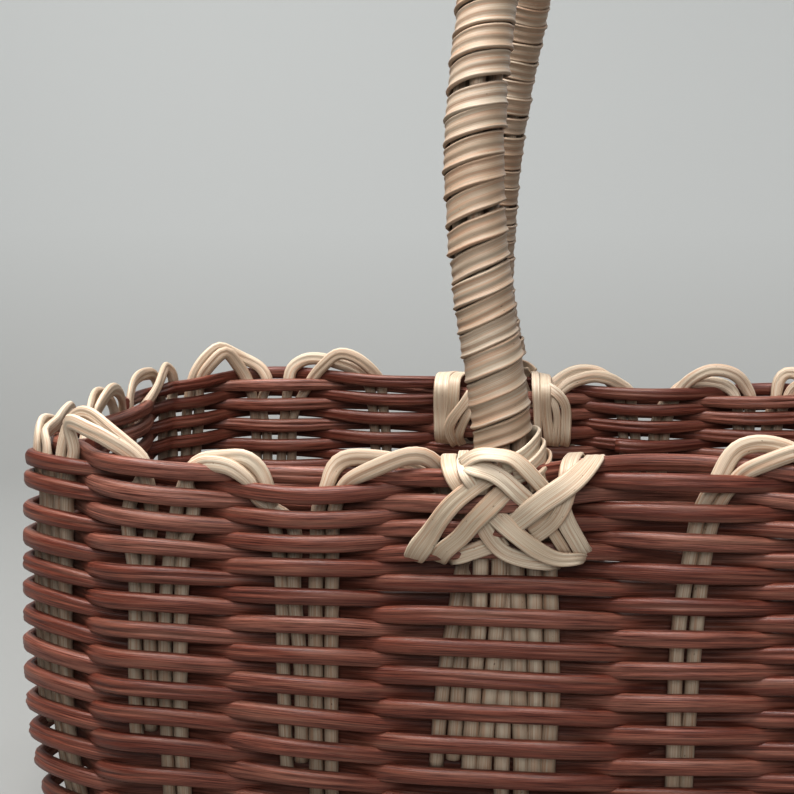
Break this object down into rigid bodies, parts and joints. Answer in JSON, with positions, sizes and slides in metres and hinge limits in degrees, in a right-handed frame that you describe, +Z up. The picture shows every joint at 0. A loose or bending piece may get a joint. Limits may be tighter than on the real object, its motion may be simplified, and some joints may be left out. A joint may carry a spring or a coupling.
{
  "type": "wicker basket with handle",
  "caption": "Rectangular woven rod basket with rounded corners, a looped border, a woven base and a fixed bow handle wound with flat cane.",
  "frame": {"origin": "under the middle of the basket, on the surface that it stands on", "axes": "+Z up through the bow handle, X along the basket's length, the front towards -Y, the bow running from front to back"},
  "size_m": [0.335, 0.2396, 0.4083],
  "materials": {
    "dark_weaver": "stained willow rod, soft satin",
    "pale_rod": "natural peeled rod, matt to satin",
    "pale_cane": "natural flat cane, grooved, satin"
  },
  "bodies": {
    "root": {"weaver_band_01": "dark_weaver", "weaver_band_02": "dark_weaver", "weaver_band_03": "dark_weaver", "weaver_band_04": "dark_weaver", "weaver_band_05": "dark_weaver", "weaver_band_06": "dark_weaver", "weaver_band_07": "dark_weaver", "weaver_band_08": "dark_weaver", "weaver_band_09": "dark_weaver", "weaver_band_10": "dark_weaver", "weaver_band_11": "dark_weaver", "weaver_band_12": "dark_weaver", "weaver_band_13": "dark_weaver", "weaver_band_14": "dark_weaver", "weaver_band_15": "dark_weaver", "foot_ring": "dark_weaver", "stake_pair_01": "pale_rod", "stake_pair_02": "pale_rod", "stake_pair_03": "pale_rod", "stake_pair_04": "pale_rod", "stake_pair_05": "pale_rod", "stake_pair_06": "pale_rod", "stake_pair_07": "pale_rod", "stake_pair_08": "pale_rod", "stake_pair_10": "pale_rod", "stake_pair_11": "pale_rod", "stake_pair_12": "pale_rod", "stake_pair_13": "pale_rod", "stake_pair_14": "pale_rod", "stake_pair_15": "pale_rod", "stake_pair_16": "pale_rod", "stake_pair_17": "pale_rod", "base_stick_1": "pale_rod", "base_stick_2": "pale_rod", "base_stick_3": "pale_rod", "base_stick_4": "pale_rod", "base_stick_5": "pale_rod", "base_stick_6": "pale_rod", "base_stick_7": "pale_rod", "handle_rod_1": "pale_rod", "handle_rod_2": "pale_rod", "handle_rod_3": "pale_rod", "handle_rod_4": "pale_rod", "handle_rod_5": "pale_rod", "handle_rod_6": "pale_rod", "base_panel": "pale_rod", "handle_winding": "pale_cane", "lashing_diagonal_under_front": "pale_cane", "lashing_diagonal_under_back": "pale_cane", "lashing_diagonal_over_front": "pale_cane", "lashing_diagonal_over_back": "pale_cane", "lashing_strap_near_front": "pale_cane", "lashing_strap_near_back": "pale_cane", "lashing_strap_far_front": "pale_cane", "lashing_strap_far_back": "pale_cane"}
  },
  "joints": []
}
